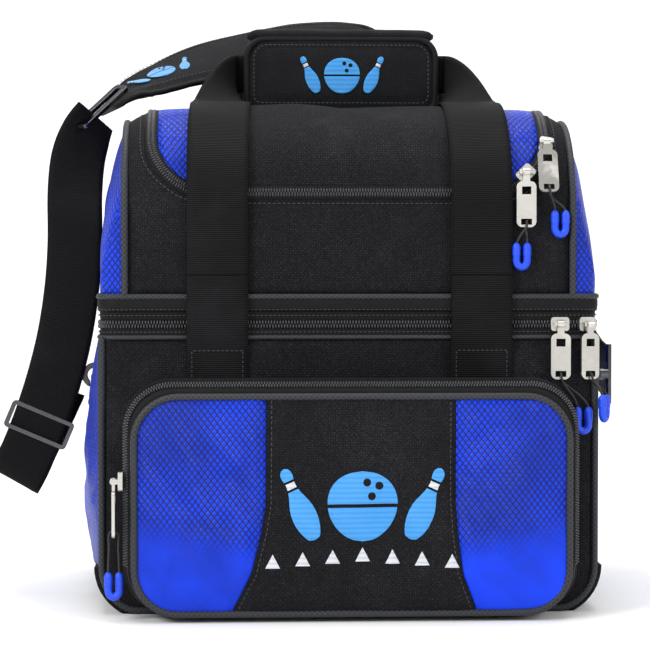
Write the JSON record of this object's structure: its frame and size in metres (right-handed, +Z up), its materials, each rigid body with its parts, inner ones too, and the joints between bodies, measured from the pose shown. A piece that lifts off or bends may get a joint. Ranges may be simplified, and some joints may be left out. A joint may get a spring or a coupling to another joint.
{
  "type": "bowling ball bag",
  "caption": "Soft bag for a bowling ball with a shoe compartment on top, a zipped front pocket, webbing handles with a padded wrap and a padded shoulder strap.",
  "frame": {"origin": "centre of the base, on the face that the bag rests on", "axes": "+Z up, front pocket faces -Y, +X to the right seen from the front"},
  "size_m": [0.4369, 0.3001, 0.4085],
  "materials": {
    "black_fabric": "plain woven polyester, near black",
    "blue_fabric": "royal blue ripstop with a diamond grid",
    "piping": "charcoal woven piping",
    "zip_tape": "black zip tape and coil",
    "webbing": "black ribbed webbing",
    "padded_fabric": "padded black fabric with bound edges",
    "board": "black plastic board",
    "foam": "grey foam with a brushed cover",
    "gunmetal": "dark polished metal",
    "nickel": "brushed nickel",
    "cord": "thin black braided cord",
    "blue_rubber": "bright blue soft rubber"
  },
  "bodies": {
    "ball_compartment": {"lower_front_panel": "black_fabric", "lower_back_panel": "black_fabric", "lower_side_panels": "blue_fabric", "lower_bottom_panel": "black_fabric", "base_board": "board", "ball_cup": "foam", "lower_piping": "piping", "main_zip_lower_tape": "zip_tape", "pocket_gusset": "black_fabric", "pocket_zip_body_tape": "zip_tape", "sewn_webbing": "webbing", "side_rings": "gunmetal", "snap_hooks": "gunmetal"},
    "shoe_compartment": {"shoe_front_panel": "black_fabric", "shoe_back_panel": "black_fabric", "shoe_side_panels": "blue_fabric", "shoe_floor": "black_fabric", "shoe_top_frame": "black_fabric", "shoe_piping": "piping", "main_zip_upper_tape": "zip_tape", "shoe_zip_body_tape": "zip_tape"},
    "shoe_flap": {"flap_middle": "black_fabric", "flap_sides": "blue_fabric", "flap_zip_tape": "zip_tape"},
    "pocket_door": {"pocket_middle": "black_fabric", "pocket_sides": "blue_fabric", "pocket_piping": "piping", "pocket_zip_door_tape": "zip_tape"},
    "front_handle_low": {"front_strap_low": "webbing"},
    "front_handle_high": {"front_strap_high": "webbing", "grip_rear": "padded_fabric"},
    "grip_cover": {"grip_front": "padded_fabric"},
    "back_handle_low": {"back_strap_low": "webbing"},
    "back_handle_high": {"back_strap_high": "webbing"},
    "strap_ends": {"hook_swivels": "gunmetal"},
    "shoulder_strap": {"shoulder_pad": "padded_fabric", "shoulder_webbing": "webbing", "strap_buckles": "gunmetal"},
    "left_hook_gate": {"left_gate": "gunmetal"},
    "right_hook_gate": {"right_gate": "gunmetal"},
    "main_zip_slider": {"main_slider": "nickel"},
    "main_zip_pull": {"main_pull": "nickel", "main_cord": "cord", "main_rubber_end": "blue_rubber"},
    "corner_zip_slider": {"corner_slider": "nickel"},
    "corner_zip_pull": {"corner_pull": "nickel", "corner_cord": "cord", "corner_rubber_end": "blue_rubber"},
    "flap_zip_slider": {"flap_slider": "nickel"},
    "flap_zip_pull": {"flap_pull": "nickel", "flap_cord": "cord", "flap_rubber_end": "blue_rubber"},
    "side_flap_zip_slider": {"side_flap_slider": "nickel"},
    "side_flap_zip_pull": {"side_flap_pull": "nickel", "side_flap_cord": "cord", "side_flap_rubber_end": "blue_rubber"},
    "pocket_zip_slider": {"pocket_slider": "nickel"},
    "pocket_zip_pull": {"pocket_pull": "nickel", "pocket_cord": "cord", "pocket_rubber_end": "blue_rubber"}
  },
  "joints": [
    {"name": "lid_hinge", "type": "hinge", "parent": "ball_compartment", "child": "shoe_compartment", "pos_m": [0, 0.118, 0.189], "axis": [-1, 0, 0], "range_deg": [0, 100]},
    {"name": "flap_hinge", "type": "hinge", "parent": "shoe_compartment", "child": "shoe_flap", "pos_m": [0, 0.06, 0.332], "axis": [1, 0, 0], "range_deg": [-100, 0]},
    {"name": "pocket_hinge", "type": "hinge", "parent": "ball_compartment", "child": "pocket_door", "pos_m": [0, -0.158, 0.004], "axis": [1, 0, 0], "range_deg": [0, 75]},
    {"name": "front_handle_swing", "type": "hinge", "parent": "ball_compartment", "child": "front_handle_low", "pos_m": [0, -0.1225, 0.178], "axis": [1, 0, 0], "range_deg": [0, 115], "deforming": ["front_strap_low"]},
    {"name": "front_handle_fold", "type": "hinge", "parent": "front_handle_low", "child": "front_handle_high", "pos_m": [0, -0.1225, 0.264], "axis": [1, 0, 0], "range_deg": [0, 140], "deforming": ["front_strap_high", "grip_rear"]},
    {"name": "grip_cover_hinge", "type": "hinge", "parent": "front_handle_high", "child": "grip_cover", "pos_m": [0, -0.013, 0.3847], "axis": [-1, 0, 0], "range_deg": [0, 150], "deforming": ["grip_front"]},
    {"name": "back_handle_swing", "type": "hinge", "parent": "ball_compartment", "child": "back_handle_low", "pos_m": [0, 0.1225, 0.178], "axis": [-1, 0, 0], "range_deg": [0, 115], "deforming": ["back_strap_low"]},
    {"name": "back_handle_fold", "type": "hinge", "parent": "back_handle_low", "child": "back_handle_high", "pos_m": [0, 0.1225, 0.264], "axis": [-1, 0, 0], "range_deg": [0, 140], "deforming": ["back_strap_high"]},
    {"name": "strap_swivel", "type": "hinge", "parent": "ball_compartment", "child": "strap_ends", "pos_m": [0, 0, 0.15], "axis": [-1, 0, 0], "range_deg": [0, 115]},
    {"name": "strap_fall", "type": "hinge", "parent": "strap_ends", "child": "shoulder_strap", "pos_m": [0, 0, 0.15], "axis": [-1, 0, 0], "range_deg": [0, 115], "deforming": ["shoulder_pad", "shoulder_webbing", "strap_buckles"]},
    {"name": "left_gate_hinge", "type": "hinge", "parent": "ball_compartment", "child": "left_hook_gate", "pos_m": [-0.1733, 0, 0.1429], "axis": [0, -1, 0], "range_deg": [0, 20], "stiffness_Nm_per_rad": 0.002, "springref_deg": -11.46},
    {"name": "right_gate_hinge", "type": "hinge", "parent": "ball_compartment", "child": "right_hook_gate", "pos_m": [0.1733, 0, 0.1429], "axis": [0, 1, 0], "range_deg": [0, 20], "stiffness_Nm_per_rad": 0.002, "springref_deg": -11.46},
    {"name": "main_slider_slide", "type": "slide", "parent": "ball_compartment", "child": "main_zip_slider", "axis": [1, 0, 0], "range_m": [-0.01, 0], "deforming": ["main_cord", "main_rubber_end"]},
    {"name": "corner_slider_turn", "type": "hinge", "parent": "ball_compartment", "child": "corner_zip_slider", "pos_m": [0.1505, -0.106, 0.189], "axis": [0, 0, 1], "range_deg": [0, 65], "deforming": ["corner_cord", "corner_rubber_end"]},
    {"name": "flap_slider_slide", "type": "slide", "parent": "shoe_compartment", "child": "flap_zip_slider", "axis": [-0.6969, -0.1697, -0.6969], "range_m": [0, 0.004]},
    {"name": "side_flap_slider_climb", "type": "hinge", "parent": "shoe_compartment", "child": "side_flap_zip_slider", "pos_m": [0.1293, -0.058, 0.272], "axis": [-1, 0, 0], "range_deg": [0, 50]},
    {"name": "pocket_slider_slide", "type": "slide", "parent": "ball_compartment", "child": "pocket_zip_slider", "axis": [0, 0, 1], "range_m": [-0.03, 0.03]},
    {"name": "main_pull_swing", "type": "hinge", "parent": "main_zip_slider", "child": "main_zip_pull", "pos_m": [0.1375, -0.1244, 0.189], "axis": [-1, 0, 0], "range_deg": [0, 150]},
    {"name": "corner_pull_swing", "type": "hinge", "parent": "corner_zip_slider", "child": "corner_zip_pull", "pos_m": [0.15679, -0.12329, 0.189], "axis": [-0.9397, -0.342, 0], "range_deg": [0, 150]},
    {"name": "flap_pull_swing", "type": "hinge", "parent": "flap_zip_slider", "child": "flap_zip_pull", "pos_m": [0.115, -0.12252, 0.28809], "axis": [-1, 0, 0], "range_deg": [0, 150]},
    {"name": "side_flap_pull_swing", "type": "hinge", "parent": "side_flap_zip_slider", "child": "side_flap_zip_pull", "pos_m": [0.1293, -0.11377, 0.30822], "axis": [-1, 0, 0], "range_deg": [0, 120]},
    {"name": "pocket_pull_swing", "type": "hinge", "parent": "pocket_zip_slider", "child": "pocket_zip_pull", "pos_m": [-0.1522, -0.148, 0.09], "axis": [0, 1, 0], "range_deg": [0, 150]}
  ],
  "couplings": [
    {"joint": "front_handle_swing", "follows": "lid_hinge", "ratio": 1.15},
    {"joint": "back_handle_swing", "follows": "lid_hinge", "ratio": 1.15},
    {"joint": "strap_swivel", "follows": "lid_hinge", "ratio": 1.15},
    {"joint": "front_handle_fold", "follows": "flap_hinge", "ratio": -1.4},
    {"joint": "back_handle_fold", "follows": "flap_hinge", "ratio": -1.4},
    {"joint": "strap_fall", "follows": "flap_hinge", "ratio": -1.15}
  ]
}
